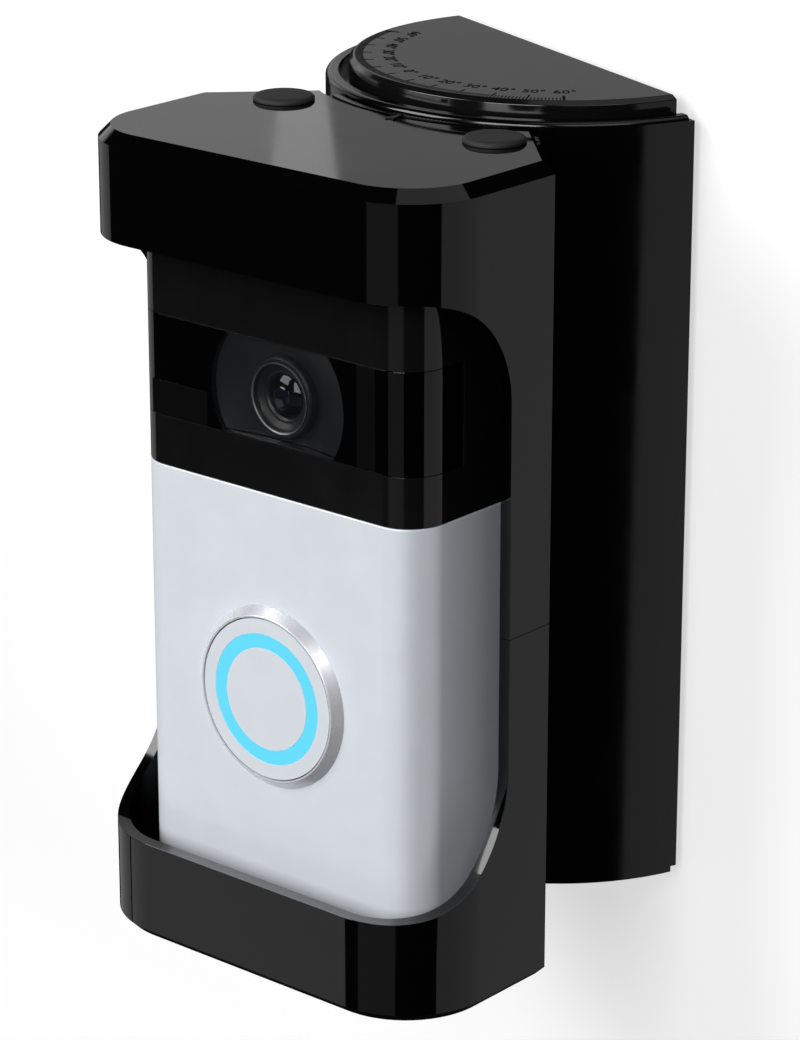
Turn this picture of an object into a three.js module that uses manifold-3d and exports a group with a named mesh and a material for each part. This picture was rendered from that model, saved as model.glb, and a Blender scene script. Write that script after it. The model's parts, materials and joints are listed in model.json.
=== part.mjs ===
// Video doorbell in a swivelling anti-theft holder on a half-round wall base.
// Millimetres, +Z up, the front faces -Y. The origin is the middle of the flat back that meets the wall.
import * as THREE from "three";
import { mergeVertices } from "three/addons/utils/BufferGeometryUtils.js";
import Module from "manifold-3d";

const wasm = await Module();
wasm.setup();

// ---- driving dimensions ----
const GAP = 0.3; // clearance between neighbouring pieces
const AXIS_Y = -2.4; // swivel axis, in front of the wall
const SWIVEL = 20.7; // how far the holder is turned from straight ahead, degrees
const SWIVEL_LIMIT = 52; // furthest the holder turns either way, degrees

const SHELL_R = 40.5; // wall base: half-cylinder shell
const SHELL_WALL = 2.2;
const SHELL_HALF = 67.7; // half of its height
const DECK_DROP = 2.5; // the decks lie this far below the rim
const DECK = 2.0;
const CAP_R = 36.45; // dial cap on top
const CAP_TOP = 70.3;
const CAP_EDGE = 0.75;
const PLATE = 1.1; // back plate
const PAD = 0.9; // adhesive pad

const HOLD_W = 38.5; // holder: half width
const HOOD = { proud: 7.4, corner: 14.25 }; // how far it stands before the doorbell, and its corner radius
const CUP = { proud: 8, corner: 16.15 };
const HOLD_BACK = -49.8; // where the sides end and the 45 degree shoulders start
const HOLD_REAR_R = 41.3; // concave rear, around the swivel axis
const HOLD_WALL = 2.1;
const HOLD_TOP = 66.8;
const HOLD_BOTTOM = -74.3;
const HOLD_EDGE = 2.05; // chamfer round the top
const FOOT_EDGE = 1.5; // chamfer round the bottom
const ROOF = 2.6;
const FLOOR = 2.2;
const SEAM = -10.8; // joint between the upper and the lower half
const HOOD_LOW = 48.6; // lower edge of the hood
const LIP = -56.6; // upper edge of the cup
const OPENING_DEPTH = 15; // how far back the side walls start
const OPENING_R = { hood: 19.5, cup: 23 }; // round corners of the opening, seen from the side

const FACE = -75.1; // doorbell: plane of its front face
const BELL_W = 31; // half width
const BELL_D = 26.4;
const BELL_TOP = 55.5;
const BELL_BOTTOM = -71;
const BELL_R = 7; // front corner radius
const SPLIT = 9.5; // between the silver faceplate and the black upper cover
const WINDOW = [18.2, 35.6]; // camera window, bottom and top
const COVER_D = 22.4; // depth of the faceplate and of the upper cover
const COVER_WALL = 1.8;

const BUTTON_Z = -26.1;
const BEZEL_R = 16;
const CAP_BUTTON_R = 14;
const RING_R = [8.98, 11.4];
const BUTTON_PROUD = 1.6;

const POST = [22.8, -45.75]; // clamp bolts, to each side of the middle
const BOLT_Z = [36, -40]; // swivel bolts
const LENS = [1.7, 26.1]; // camera centre, across and up

// ---- materials ----
const paint = (color, roughness, metalness = 0) => new THREE.MeshStandardMaterial({ color, roughness, metalness });
const GLOSS_BLACK = paint(0x0b0b0c, 0.12);
const SHELL_BLACK = paint(0x101011, 0.2);
const CAP_BLACK = paint(0x1c1c1d, 0.3);
const RUBBER = paint(0x1d1d1e, 0.8);
const SILVER = paint(0xcfd6de, 0.38, 0.6);
const STEEL = paint(0x9a9da1, 0.3, 1);
const LIGHT_BLUE = paint(0x55d4f5, 0.4);
const GLASS = paint(0x0a0c10, 0.03);
const DARK_GREY = paint(0x262729, 0.5);
const BOARD = paint(0x1f5a35, 0.6);
const CELL = paint(0x3b4047, 0.5);
const FOAM = paint(0x2a2a2b, 0.95);

// ---- solids ----
const rad = THREE.MathUtils.degToRad;

function solid(geometry) {
  const bare = new THREE.BufferGeometry();
  bare.setAttribute("position", geometry.getAttribute("position"));
  if (geometry.index) bare.setIndex(geometry.index);
  const merged = mergeVertices(bare, 1e-4);
  return new wasm.Manifold(new wasm.Mesh({
    numProp: 3,
    vertProperties: new Float32Array(merged.getAttribute("position").array),
    triVerts: new Uint32Array(merged.index.array),
  }));
}

const box = (x, y, z) => solid(new THREE.BoxGeometry(x[1] - x[0], y[1] - y[0], z[1] - z[0])
  .translate((x[0] + x[1]) / 2, (y[0] + y[1]) / 2, (z[0] + z[1]) / 2));

// Upright round bar between two heights.
const post = (r, [x, y], z, sides = 24) => solid(new THREE.CylinderGeometry(r, r, z[1] - z[0], sides)
  .rotateX(Math.PI / 2).translate(x, y, (z[0] + z[1]) / 2));

// Round bar along Y. A second radius makes it taper towards the back.
const pin = (r, [x, z], y, sides = 24, rBack = r) => solid(new THREE.CylinderGeometry(rBack, r, y[1] - y[0], sides)
  .translate(x, (y[0] + y[1]) / 2, z));

const tube = (rIn, rOut, at, y, sides = 48) => pin(rOut, at, y, sides)
  .subtract(pin(rIn, at, [y[0] - 1, y[1] + 1], sides));

// Closed skin over outlines stacked at rising heights. Each outline has the same number of points.
function loft(levels) {
  const count = levels[0].points.length;
  const position = levels.flatMap(({ points, z }) => points.flatMap((p) => [p.x, p.y, z]));
  const index = [];
  for (let k = 0; k + 1 < levels.length; k++) {
    for (let i = 0; i < count; i++) {
      const a = k * count + i;
      const b = k * count + ((i + 1) % count);
      index.push(a, b, b + count, a, b + count, a + count);
    }
  }
  const top = (levels.length - 1) * count;
  for (const [a, b, c] of THREE.ShapeUtils.triangulateShape(levels[0].points, [])) {
    index.push(a, c, b);
  }
  for (const [a, b, c] of THREE.ShapeUtils.triangulateShape(levels.at(-1).points, [])) {
    index.push(top + a, top + b, top + c);
  }
  const geometry = new THREE.BufferGeometry();
  geometry.setAttribute("position", new THREE.Float32BufferAttribute(position, 3));
  geometry.setIndex(index);
  return solid(geometry);
}

const prism = (points, z) => loft([{ points, z: z[0] }, { points, z: z[1] }]);

// Points on an arc about a centre, from one angle to another in degrees.
function arc(cx, cy, r, from, to, steps = 8) {
  return Array.from({ length: steps + 1 }, (_, i) => {
    const a = rad(from + ((to - from) * i) / steps);
    return new THREE.Vector2(cx + r * Math.cos(a), cy + r * Math.sin(a));
  });
}

// Rectangle with round corners: front corners at low Y, back corners at high Y.
function roundedRect(w, front, back, rFront, rBack) {
  return [
    ...arc(-w + rFront, front + rFront, rFront, 180, 270),
    ...arc(w - rFront, front + rFront, rFront, 270, 360),
    ...arc(w - rBack, back - rBack, rBack, 0, 90, 5),
    ...arc(-w + rBack, back - rBack, rBack, 90, 180, 5),
  ];
}

// Sector of a ring about the swivel axis, half an angle to each side of straight ahead.
const sector = (rIn, rOut, half, z, steps = 32) => prism(
  [...arc(0, 0, rOut, -90 - half, -90 + half, steps), ...arc(0, 0, rIn, -90 + half, -90 - half, steps)], z);

// ---- scene graph ----
const doorbell = new THREE.Group();
const base = new THREE.Group();
base.position.y = AXIS_Y;
const holder = new THREE.Group();
holder.position.y = AXIS_Y;
holder.rotation.z = rad(SWIVEL);
doorbell.add(base, holder);

function add(group, name, shape, material) {
  const { vertProperties, triVerts } = shape.getMesh();
  const geometry = new THREE.BufferGeometry();
  geometry.setAttribute("position", new THREE.Float32BufferAttribute(vertProperties, 3));
  geometry.setIndex(Array.from(triVerts));
  geometry.computeVertexNormals();
  const mesh = new THREE.Mesh(geometry, material);
  mesh.name = name;
  group.add(mesh);
}

// ---- wall base ----
function halfDisc(r, back, steps = 48) {
  return [new THREE.Vector2(-r, back), ...arc(0, 0, r, 180, 360, steps), new THREE.Vector2(r, back)];
}

function wallBase() {
  const back = -AXIS_Y - PAD - PLATE - 0.05; // the shell's flat rear edge
  const inner = SHELL_R - SHELL_WALL;
  const shellScrews = [[-30, 52], [30, 52], [-30, -52], [30, -52]];
  const hollow = (z) => prism(halfDisc(inner, back + 1), z);
  let shell = prism(halfDisc(SHELL_R, back), [-SHELL_HALF, SHELL_HALF])
    .subtract(hollow([-SHELL_HALF + DECK, SHELL_HALF - DECK_DROP - DECK]))
    .subtract(hollow([SHELL_HALF - DECK_DROP, SHELL_HALF + 1]));
  const slotHalf = SWIVEL_LIMIT + 3.3;
  for (const z of BOLT_Z) {
    shell = shell.subtract(sector(inner - 1, SHELL_R + 1, slotHalf, [z - 2.2, z + 2.2]));
  }
  for (const [x, z] of shellScrews) {
    const side = Math.sign(x);
    shell = shell.add(box([side * 33 - 6, side * 33 + 6], [-9, back], [z - 4, z + 4]));
  }
  for (const at of shellScrews) {
    shell = shell.subtract(pin(1.6, at, [-7.5, back + 1], 16));
  }
  add(base, "base_shell", shell, SHELL_BLACK);

  const capBack = 0.5;
  const cap = loft([
    { points: halfDisc(CAP_R, capBack), z: SHELL_HALF - DECK_DROP + 0.1 },
    { points: halfDisc(CAP_R, capBack), z: CAP_TOP - CAP_EDGE },
    { points: halfDisc(CAP_R - CAP_EDGE, capBack - CAP_EDGE / 2), z: CAP_TOP },
  ]);
  add(base, "dial_cap", cap, CAP_BLACK);

  const plateY = [-AXIS_Y - PAD - PLATE, -AXIS_Y - PAD];
  const capRoom = box([-CAP_R - GAP, CAP_R + GAP], [plateY[0] - 1, plateY[1] + 1],
    [SHELL_HALF - DECK_DROP - 1, CAP_TOP]);
  let plate = box([-SHELL_R + 0.1, SHELL_R - 0.1], plateY, [-SHELL_HALF + 1, SHELL_HALF - 1]).subtract(capRoom);
  for (const at of shellScrews) {
    plate = plate.subtract(pin(1.8, at, [plateY[0] - 1, plateY[1] + 1], 16));
  }
  add(base, "back_plate", plate, SHELL_BLACK);
  add(base, "adhesive_pad", box([-24, 24], [plateY[1], -AXIS_Y], [-60, 60]), FOAM);
  shellScrews.forEach((at, i) => {
    const head = pin(2.8, at, [plateY[1] + 0.02, plateY[1] + 0.7], 16);
    add(base, `base_screw_${i + 1}`, pin(1.3, at, [-5, plateY[1] + 0.1], 16).add(head), STEEL);
  });
}

// ---- holder ----
// Outline of the hood or the cup, drawn in by an inset: rounded nose, straight sides, 45 degree shoulders
// and a concave rear that wraps the base.
function holderOutline(inset, nose) {
  const w = HOLD_W - inset;
  const front = FACE - nose.proud + inset;
  const r = nose.corner - inset;
  const sum = HOLD_W + HOLD_BACK - inset * Math.SQRT2;
  const rear = HOLD_REAR_R + inset;
  const x = (sum + Math.sqrt(2 * rear * rear - sum * sum)) / 2;
  const reach = THREE.MathUtils.radToDeg(Math.atan2(x, -(sum - x)));
  return [
    ...arc(-w + r, front + r, r, 180, 270, 10),
    ...arc(w - r, front + r, r, 270, 360, 10),
    new THREE.Vector2(w, sum - w),
    ...arc(0, 0, rear, -90 + reach, -90 - reach, 20),
    new THREE.Vector2(-w, sum - w),
  ];
}

// What is cut away at the front and the sides: a block with two round corners, seen from the side.
function opening() {
  const depth = FACE + OPENING_DEPTH;
  const { hood, cup } = OPENING_R;
  const side = [
    new THREE.Vector2(FACE - 20, LIP),
    ...arc(depth - cup, LIP + cup, cup, 270, 360, 10),
    ...arc(depth - hood, HOOD_LOW - hood, hood, 0, 90, 10),
    new THREE.Vector2(FACE - 20, HOOD_LOW),
  ];
  const geometry = new THREE.ExtrudeGeometry(new THREE.Shape(side), { depth: 100, bevelEnabled: false, steps: 1 })
    .translate(0, 0, -50)
    .applyMatrix4(new THREE.Matrix4().makeBasis(
      new THREE.Vector3(0, 1, 0), new THREE.Vector3(0, 0, 1), new THREE.Vector3(1, 0, 0)));
  return solid(geometry);
}

// Room for the doorbell, so that no rib or post runs into it.
const bellRoom = () => prism(roundedRect(BELL_W + 0.5, FACE - 0.5, FACE + BELL_D + 0.3, BELL_R, 3),
  [BELL_BOTTOM - 0.3, BELL_TOP + 0.3]);

// Post round a clamp bolt, with a web that joins it to the shoulder behind.
function boltPost(at, z) {
  const web = box([at[0] - 3, at[0] + 3], [at[1], at[1] + 10], z).intersect(prism(holderOutline(0.5, HOOD), z));
  return post(5.6, at, z).add(web);
}

function holderShells() {
  const cut = opening();
  const hood = (inset, z) => ({ points: holderOutline(inset, HOOD), z });
  const cup = (inset, z) => ({ points: holderOutline(inset, CUP), z });
  let upper = loft([hood(0, SEAM + GAP / 2), hood(0, HOLD_TOP - HOLD_EDGE), hood(HOLD_EDGE, HOLD_TOP)])
    .subtract(prism(holderOutline(HOLD_WALL, HOOD), [SEAM - 1, HOLD_TOP - ROOF]));
  let lower = loft([cup(FOOT_EDGE, HOLD_BOTTOM), cup(0, HOLD_BOTTOM + FOOT_EDGE), cup(0, SEAM - GAP / 2)])
    .subtract(prism(holderOutline(HOLD_WALL, CUP), [HOLD_BOTTOM + FLOOR, SEAM + 1]));
  for (const side of [-1, 1]) {
    const at = [side * POST[0], POST[1]];
    upper = upper.add(boltPost(at, [SEAM + GAP / 2, HOLD_TOP - 1]));
    lower = lower.add(boltPost(at, [SEAM - 14, SEAM - GAP / 2]));
    upper = upper.subtract(post(3.7, at, [HOLD_TOP - 11, HOLD_TOP + 1]));
    upper = upper.subtract(post(1.8, at, [SEAM - 1, HOLD_TOP]));
    lower = lower.subtract(post(1.8, at, [SEAM - 20, SEAM + 1]));
  }
  const rack = sector(HOLD_REAR_R - 1, HOLD_REAR_R + 1.4, 27, [HOLD_TOP - 4.4, HOLD_TOP + 1]);
  upper = upper.subtract(rack).subtract(bellRoom());
  lower = lower.subtract(bellRoom());
  const backHole = (z) => pin(2.2, [0, z], [-HOLD_REAR_R - 5, -HOLD_REAR_R + 5], 16);
  upper = upper.subtract(backHole(BOLT_Z[0])).subtract(cut);
  lower = lower.subtract(backHole(BOLT_Z[1])).subtract(cut);
  add(holder, "holder_upper", upper, GLOSS_BLACK);
  add(holder, "holder_lower", lower, GLOSS_BLACK);
}

// Toothed strip set in the holder's rear edge, facing the base.
function indexRack() {
  const half = 26.5;
  const teeth = 24;
  const inner = [];
  for (let i = 0; i <= teeth * 2; i++) {
    const a = rad(-90 + half - (half * i) / teeth);
    const r = HOLD_REAR_R - 0.35 + (i % 2 ? 0.5 : 0);
    inner.push(new THREE.Vector2(r * Math.cos(a), r * Math.sin(a)));
  }
  const outline = [...arc(0, 0, HOLD_REAR_R + 1.1, -90 - half, -90 + half, 24), ...inner];
  add(holder, "index_rack", prism(outline, [HOLD_TOP - 4.1, HOLD_TOP]), SHELL_BLACK);
  const tip = -HOLD_REAR_R + 0.2;
  const pointer = [new THREE.Vector2(-0.8, tip - 4.2), new THREE.Vector2(0.8, tip - 4.2), new THREE.Vector2(0, tip)];
  add(holder, "index_pointer", prism(pointer, [HOLD_TOP + 0.02, HOLD_TOP + 0.5]), STEEL);
}

function holderHardware() {
  for (const [side, word] of [[-1, "left"], [1, "right"]]) {
    const at = [side * POST[0], POST[1]];
    add(holder, `screw_plug_${word}`,
      post(5.2, at, [HOLD_TOP + 0.05, HOLD_TOP + 1.05], 40).add(post(3.4, at, [HOLD_TOP - 5, HOLD_TOP + 0.5])), RUBBER);
    const seat = HOLD_TOP - 10.9;
    add(holder, `clamp_bolt_${word}`,
      post(1.5, at, [SEAM - 18, seat + 1], 16).add(post(3.2, at, [seat, seat + 3.4], 24))
        .subtract(post(1.4, at, [seat + 1.6, seat + 4], 6)), STEEL);
    add(holder, `clamp_nut_${word}`,
      post(2.8, at, [SEAM - 16.8, SEAM - 14.3], 6).subtract(post(1.7, at, [SEAM - 18, SEAM - 13], 16)), STEEL);
  }
  for (const [z, word] of [[BOLT_Z[0], "upper"], [BOLT_Z[1], "lower"]]) {
    const wall = -HOLD_REAR_R - HOLD_WALL;
    const head = pin(3.4, [0, z], [wall - 2.9, wall - 0.35], 24);
    const socket = pin(1.5, [0, z], [wall - 3.5, wall - 1.6], 6);
    add(holder, `swivel_bolt_${word}`,
      pin(1.8, [0, z], [wall - 1, -SHELL_R + SHELL_WALL + 4.6], 16).add(head).subtract(socket), STEEL);
    const inner = SHELL_R - SHELL_WALL - GAP;
    add(holder, `swivel_shoe_${word}`,
      sector(inner - 3, inner, 10, [z - 7, z + 7], 8).subtract(pin(2.1, [0, z], [-inner - 2, -inner + 6], 16)), STEEL);
  }
  const floor = HOLD_BOTTOM + FLOOR;
  add(holder, "bottom_pad", box([-26, 26], [FACE + 2, FACE + 24], [floor + 0.1, BELL_BOTTOM - 0.1]), FOAM);
  for (const [side, word] of [[-1, "left"], [1, "right"]]) {
    const x = [side * 12 - 4, side * 12 + 4];
    add(holder, `rear_pad_${word}`, box(x, [FACE + BELL_D + 0.2, FACE + BELL_D + 3.4], [-8, 20]), FOAM);
  }
}

// ---- doorbell ----
const bellOutline = (inset, depth) => roundedRect(BELL_W - inset, FACE + inset, depth, BELL_R - inset, 0.6);
const buttonAt = [0, BUTTON_Z];

// Hollow front part open at the back, between two heights, with one end wall.
function frontShell(z, endBelow) {
  const hollow = endBelow ? [z[0] + COVER_WALL, z[1] + 1] : [z[0] - 1, z[1] - COVER_WALL];
  return prism(bellOutline(0, FACE + COVER_D), z)
    .subtract(prism(bellOutline(COVER_WALL, FACE + COVER_D + 1), hollow));
}

function covers() {
  const faceplate = frontShell([BELL_BOTTOM, SPLIT - GAP / 2], true)
    .subtract(pin(BEZEL_R - 0.6, buttonAt, [FACE - 1, FACE + 3], 48))
    .subtract(post(1.8, [0, FACE + 9], [BELL_BOTTOM - 1, BELL_BOTTOM + 3], 16));
  add(holder, "faceplate", faceplate, SILVER);

  const glassD = 2.4;
  const band = (grow, deep) => prism(bellOutline(deep, FACE + 12), [WINDOW[0] - grow, WINDOW[1] + grow]);
  const windowRoom = prism(bellOutline(-1, FACE + 12.2), [WINDOW[0] - 0.1, WINDOW[1] + 0.1])
    .subtract(prism(bellOutline(glassD + 0.1, FACE + 12.3), [WINDOW[0] - 1, WINDOW[1] + 1]));
  const inner = frontShell([SPLIT + GAP / 2, BELL_TOP], false)
    .add(prism(bellOutline(1, FACE + COVER_D), [WINDOW[0] - 1.5, WINDOW[1] + 1.5])
      .subtract(prism(bellOutline(glassD + 1.6, FACE + COVER_D + 1), [WINDOW[0] - 2, WINDOW[1] + 2])));
  const port = [[LENS[0] - 14.4, LENS[0] + 14.4], [WINDOW[0] + 0.3, WINDOW[1] - 0.3]];
  const cover = inner.subtract(windowRoom).subtract(box(port[0], [FACE - 1, FACE + 6], port[1]));
  add(holder, "upper_cover", cover, GLOSS_BLACK);
  const pane = band(0, 0).subtract(prism(bellOutline(glassD, FACE + 13), [WINDOW[0] - 1, WINDOW[1] + 1]))
    .subtract(box([port[0][0] + 0.2, port[0][1] - 0.2], [FACE - 1, FACE + 6], [port[1][0] + 0.1, port[1][1] - 0.1]));
  add(holder, "camera_window", pane, GLASS);

  const rear = [FACE + COVER_D + 1, FACE + BELL_D];
  const tub = (inset, y) => prism(
    roundedRect(BELL_W - inset, y[0], y[1], 0.6, 1.8), [BELL_BOTTOM + inset, BELL_TOP - inset]);
  const housing = tub(0, rear).subtract(tub(1.8, [rear[0] - 2, rear[1] - 1.8]));
  add(holder, "rear_housing", housing, SHELL_BLACK);
  const gasketY = [FACE + COVER_D + 0.15, FACE + COVER_D + 0.85];
  const loop = (inset) => box([-BELL_W + inset, BELL_W - inset], [gasketY[0], gasketY[1]], [BELL_BOTTOM + inset, BELL_TOP - inset]);
  const gasket = loop(0.4).subtract(box([-BELL_W + 1.7, BELL_W - 1.7], [gasketY[0] - 1, gasketY[1] + 1],
    [BELL_BOTTOM + 1.7, BELL_TOP - 1.7]));
  add(holder, "body_gasket", gasket, RUBBER);
  add(holder, "security_screw", post(1.5, [0, FACE + 9], [BELL_BOTTOM + 0.05, BELL_BOTTOM + 7], 16), STEEL);
}

function camera() {
  const [x, z] = LENS;
  const half = 13.9;
  const high = (WINDOW[1] - WINDOW[0]) / 2 - 0.6;
  const mid = (WINDOW[0] + WINDOW[1]) / 2;
  const shroud = box([x - half, x + half], [FACE + 0.9, FACE + 5.2], [mid - high, mid + high])
    .subtract(pin(7, [x, z], [FACE - 1, FACE + 6], 40));
  add(holder, "camera_shroud", shroud, DARK_GREY);
  add(holder, "lens_barrel", tube(3.7, 6.8, [x, z], [FACE + 0.7, FACE + 9.6], 40), GLOSS_BLACK);
  add(holder, "lens_ring", tube(5.7, 6.1, [x, z], [FACE + 0.2, FACE + 0.65], 40), STEEL);
  add(holder, "lens_glass", pin(3.4, [x, z], [FACE + 1, FACE + 3], 32), GLASS);
  add(holder, "camera_board", box([x - 9, x + 9], [FACE + 9.7, FACE + 10.9], [mid - 8, mid + 8]), BOARD);
}

function button() {
  const front = FACE - BUTTON_PROUD;
  const bezel = pin(BEZEL_R - 1.5, buttonAt, [front, FACE - 0.02], 64, BEZEL_R)
    .add(pin(BEZEL_R - 0.8, buttonAt, [FACE - 0.1, FACE + 2.4], 64))
    .subtract(pin(CAP_BUTTON_R + 0.2, buttonAt, [front - 1, FACE + 3], 64));
  add(holder, "button_bezel", bezel, SILVER);
  const cap = pin(CAP_BUTTON_R, buttonAt, [front + 0.1, FACE + 2.8], 64)
    .add(pin(CAP_BUTTON_R + 0.9, buttonAt, [FACE + 2.7, FACE + 3.6], 64))
    .subtract(tube(RING_R[0] - 0.15, RING_R[1] + 0.15, buttonAt, [front - 1, front + 2.2], 64));
  add(holder, "button_cap", cap, SILVER);
  add(holder, "light_ring", tube(RING_R[0], RING_R[1], buttonAt, [front + 0.1, front + 2], 64), LIGHT_BLUE);
  add(holder, "button_dome", pin(7, buttonAt, [FACE + 4.6, FACE + 7.6], 32, 9), RUBBER);
  add(holder, "bell_switch", box([-3, 3], [FACE + 7.8, FACE + 11], [BUTTON_Z - 3, BUTTON_Z + 3]), DARK_GREY);
}

function internals() {
  const boardY = [FACE + 11.2, FACE + 12.8];
  add(holder, "main_board", box([-26, 26], boardY, [-66, 51]), BOARD);
  add(holder, "battery_pack", box([-22, 22], [FACE + 13.1, FACE + 23.5], [-66, -2]), CELL);
  add(holder, "battery_contacts", box([-6, 6], [FACE + 13.1, FACE + 18], [-1.5, 3]), STEEL);
  add(holder, "speaker", pin(9, [-12, 22], [FACE + 13.1, FACE + 19], 32), DARK_GREY);
  add(holder, "radio_module", box([4, 22], [FACE + 13.1, FACE + 15.6], [14, 40]), STEEL);
  add(holder, "microphone", box([-2, 2], [FACE + 9.8, FACE + 11], [BELL_BOTTOM + 8, BELL_BOTTOM + 11]), STEEL);
  add(holder, "motion_sensor", pin(3.4, [-20, 27], [FACE + 6, FACE + 11], 24), STEEL);
}

wallBase();
holderShells();
indexRack();
holderHardware();
covers();
camera();
button();
internals();

export default doorbell;
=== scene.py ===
import json
import math

import bmesh
import bpy
from mathutils import Matrix, Vector


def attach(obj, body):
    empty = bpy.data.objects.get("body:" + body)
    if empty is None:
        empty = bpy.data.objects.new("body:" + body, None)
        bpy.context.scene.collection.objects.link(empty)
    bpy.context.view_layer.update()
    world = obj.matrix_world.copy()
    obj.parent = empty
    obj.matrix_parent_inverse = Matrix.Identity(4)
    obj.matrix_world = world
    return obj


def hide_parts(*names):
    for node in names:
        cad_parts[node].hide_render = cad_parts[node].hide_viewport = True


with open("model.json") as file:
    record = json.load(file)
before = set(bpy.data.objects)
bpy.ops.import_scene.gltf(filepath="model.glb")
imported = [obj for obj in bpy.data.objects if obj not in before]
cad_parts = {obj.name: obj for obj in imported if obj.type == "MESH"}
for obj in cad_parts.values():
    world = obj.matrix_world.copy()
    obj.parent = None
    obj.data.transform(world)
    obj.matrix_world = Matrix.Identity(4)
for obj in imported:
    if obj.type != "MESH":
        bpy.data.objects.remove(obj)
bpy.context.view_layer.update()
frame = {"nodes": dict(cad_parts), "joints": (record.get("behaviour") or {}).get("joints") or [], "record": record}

# Sizes are in millimetres, in the frame of the part they belong to. Two frames are used: the wall
# base, and the holder, which is turned about the swivel axis. BASE and
# HOLDER are the matrices that bring them into the row frame.
MM = 0.001
AXIS_Y = frame["joints"][0]["pos_m"][1] / MM  # swivel axis, in front of the wall
PRESS = Vector(next(j for j in frame["joints"] if j["name"] == "button_press")["axis"])
SWIVEL = math.atan2(-PRESS.x, PRESS.y)  # how far the holder is turned at rest

SHELL_R = 40.5  # wall base
SHELL_WALL = 2.2
SHELL_HALF = 67.7
DECK_DROP = 2.5
DECK = 2.0
SHELL_BACK = 0.35
SHELL_RIM = 0.9  # rounding round its upper edge
CAP_R = 36.45
CAP_TOP = 70.3
CAP_EDGE = 0.75
CAP_BACK = 0.5

HOLD_W = 38.5  # holder
HOOD = {"proud": 7.4, "corner": 14.25}
CUP = {"proud": 8.0, "corner": 16.15}
HOLD_BACK = -49.8
HOLD_REAR_R = 41.3
HOLD_WALL = 2.1
HOLD_TOP = 66.8
HOLD_BOTTOM = -74.3
HOLD_EDGE = 2.05
FOOT_EDGE = 1.5
ROOF = 2.6
FLOOR = 2.2
SEAM = -10.8
SEAM_GAP = 0.12
HOOD_LOW = 48.6
LIP = -56.6
OPENING_DEPTH = 15.0  # how far back the side walls start
OPENING_R = {"hood": 19.5, "cup": 23.0}  # round corners of the opening, seen from the side
LIP_EDGE = 1.35  # chamfer along the hood's lower edge and the cup's lip
SIDE_EDGE = 0.9  # chamfer along the front edge of the side walls

FACE = -75.1  # doorbell
BELL_W = 31
BELL_TOP = 55.5
BELL_BOTTOM = -71
BELL_R = 7
SPLIT = 9.5
SPLIT_GAP = 0.12
WINDOW = (18.2, 35.6)
COVER_BACK = FACE + 22.4  # rear edge of the faceplate and the upper cover
COVER_WALL = 1.8
GLASS_D = 2.4  # thickness of the window
GLASS_BACK = FACE + 12  # rear edge of its sides
DOME = 48  # half the angle that the lens surfaces span
LENS_R = (3.7, 5.7, 6.1, 6.9)  # lens, cone round it, bright trim, barrel
PORT_R = 14.4
LENS = (1.7, 26.1)

BUTTON = (0, -26.1)
BEZEL_R = 16
CAP_BUTTON_R = 14
RING_R = (8.98, 11.4)
PROUD = 1.6

POSTS = ((-22.8, -45.75), (22.8, -45.75))  # round posts that the holder's screws run in
POST_R = 5.6
POST_GAP = 0.15
SCREW_R = 1.8
PLUG_HOLE_R = 3.7
PLUG_HOLE_DEPTH = 11
BOLT_Z = (36, -40)  # swivel bolts
BOLT_R = 2.2
SWIVEL_SLOT = 55.3  # half the angle of the slots in the base
SLOT_HALF = 2.2  # half their height

HIGHLIGHT = 0.16  # small rounding of every moulded edge
MERGE = 0.008  # corners closer than this are one corner
SHARP = 40  # edges that turn by more than this many degrees are chamfered, and shaded as sharp
ROUND = 28  # edges that turn by more than this many degrees are rounded a little
ON_LINE = 0.02  # a point this close to an outline lies on it
OVER = 1  # how far a cutter reaches past what it cuts

# ---- places ----
SCALE = Matrix.Scale(MM, 4)
BASE = Matrix.Translation((0, AXIS_Y * MM, 0)) @ SCALE
HOLDER = Matrix.Translation((0, AXIS_Y * MM, 0)) @ Matrix.Rotation(SWIVEL, 4, "Z") @ SCALE


# ---- meshes ----
AXES = {"z": lambda a, b, c: (a, b, c), "x": lambda a, b, c: (c, a, b), "y": lambda a, b, c: (b, c, a)}


def to_object(name, mesh):
    """A linked object that holds a bmesh, with its faces pointing out."""
    bmesh.ops.remove_doubles(mesh, verts=mesh.verts, dist=1e-5)
    bmesh.ops.recalc_face_normals(mesh, faces=mesh.faces)
    data = bpy.data.meshes.new(name)
    mesh.to_mesh(data)
    mesh.free()
    made = bpy.data.objects.new(name, data)
    bpy.context.scene.collection.objects.link(made)
    return made


def loft(levels, axis="z"):
    """A closed solid over outlines stacked along an axis; each level is (points, height)."""
    mesh = bmesh.new()
    rings = [[mesh.verts.new(AXES[axis](x, y, height)) for x, y in points]
             for points, height in levels]
    for low, high in zip(rings, rings[1:]):
        for i, corner in enumerate(low):
            following = (i + 1) % len(low)
            mesh.faces.new((corner, low[following], high[following], high[i]))
    mesh.faces.new(list(reversed(rings[0])))
    mesh.faces.new(rings[-1])
    return to_object("solid", mesh)


def prism(points, low, high, axis="z"):
    return loft([(points, low), (points, high)], axis)


def arc(cx, cy, r, start, end, steps=24):
    """Points on an arc, from one angle to another in degrees."""
    angles = (math.radians(start + (end - start) * i / steps) for i in range(steps + 1))
    return [(cx + r * math.cos(a), cy + r * math.sin(a)) for a in angles]


def circle(cx, cy, r, steps=64):
    return arc(cx, cy, r, 0, 360, steps)[:-1]


def post(r, at, low, high, steps=64):
    """An upright round bar."""
    return prism(circle(at[0], at[1], r, steps), low, high)


def pin(r, at, low, high, steps=96):
    """A round bar along Y, centred at (x, z)."""
    return prism(circle(at[1], at[0], r, steps), low, high, "y")


def block(x, y, z):
    corners = [(x[0], y[0]), (x[1], y[0]), (x[1], y[1]), (x[0], y[1])]
    return prism(corners, *z)


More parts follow.
